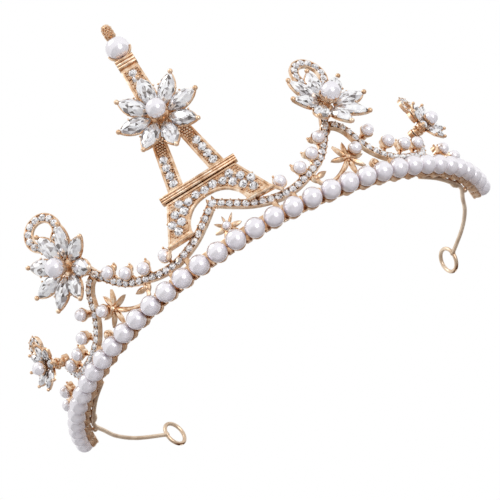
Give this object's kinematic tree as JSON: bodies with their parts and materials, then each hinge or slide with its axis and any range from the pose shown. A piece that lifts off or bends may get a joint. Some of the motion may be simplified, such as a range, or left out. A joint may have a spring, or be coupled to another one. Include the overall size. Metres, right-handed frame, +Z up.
{
  "type": "tiara",
  "caption": "Open metal tiara: a band of pearls in cups, a lattice tower at the front, crystal flowers, leafy vines and a ringed wire at each end.",
  "frame": {"origin": "on the floor plane of the rings' lowest points, midway between the sides and midway between the tower's flower and the backs of the rings", "axes": "+Z up through the tower, -Y towards the tower's front, +X to the right seen from the front, along the tiara's width"},
  "size_m": [0.1588, 0.124, 0.0895],
  "materials": {
    "gold": "polished rose-gold plating",
    "wire": "satin champagne plating",
    "pearl": "pearl lacquer with a soft sheen",
    "crystal": "clear cut crystal with a foiled back"
  },
  "bodies": {
    "root": {"band_rail": "gold", "band_pearl_01": "pearl", "band_pearl_02": "pearl", "band_pearl_03": "pearl", "band_pearl_04": "pearl", "band_pearl_05": "pearl", "band_pearl_06": "pearl", "band_pearl_07": "pearl", "band_pearl_08": "pearl", "band_pearl_09": "pearl", "band_pearl_10": "pearl", "band_pearl_11": "pearl", "band_pearl_12": "pearl", "band_pearl_13": "pearl", "band_pearl_14": "pearl", "band_pearl_15": "pearl", "band_pearl_16": "pearl", "band_pearl_17": "pearl", "band_pearl_18": "pearl", "band_pearl_19": "pearl", "band_pearl_20": "pearl", "band_pearl_21": "pearl", "band_pearl_22": "pearl", "band_pearl_23": "pearl", "band_pearl_24": "pearl", "band_pearl_25": "pearl", "band_pearl_26": "pearl", "band_pearl_27": "pearl", "band_pearl_28": "pearl", "band_pearl_29": "pearl", "band_pearl_30": "pearl", "band_pearl_31": "pearl", "band_pearl_32": "pearl", "band_pearl_33": "pearl", "band_pearl_34": "pearl", "band_pearl_35": "pearl", "band_pearl_36": "pearl", "band_pearl_37": "pearl", "vine_right": "gold", "vine_left": "gold", "tower_frame": "gold", "spire_pearl": "pearl", "spire_tip": "gold", "centre_flower_setting": "gold", "centre_flower_crystals": "crystal", "centre_flower_pearl": "pearl", "side_flower_left_setting": "gold", "side_flower_left_crystals": "crystal", "side_flower_left_pearl": "pearl", "end_flower_left_setting": "gold", "end_flower_left_crystals": "crystal", "end_flower_left_pearl": "pearl", "side_flower_right_setting": "gold", "side_flower_right_crystals": "crystal", "side_flower_right_pearl": "pearl", "end_flower_right_setting": "gold", "end_flower_right_crystals": "crystal", "end_flower_right_pearl": "pearl", "end_wire_right": "wire", "end_wire_left": "wire"}
  },
  "joints": []
}
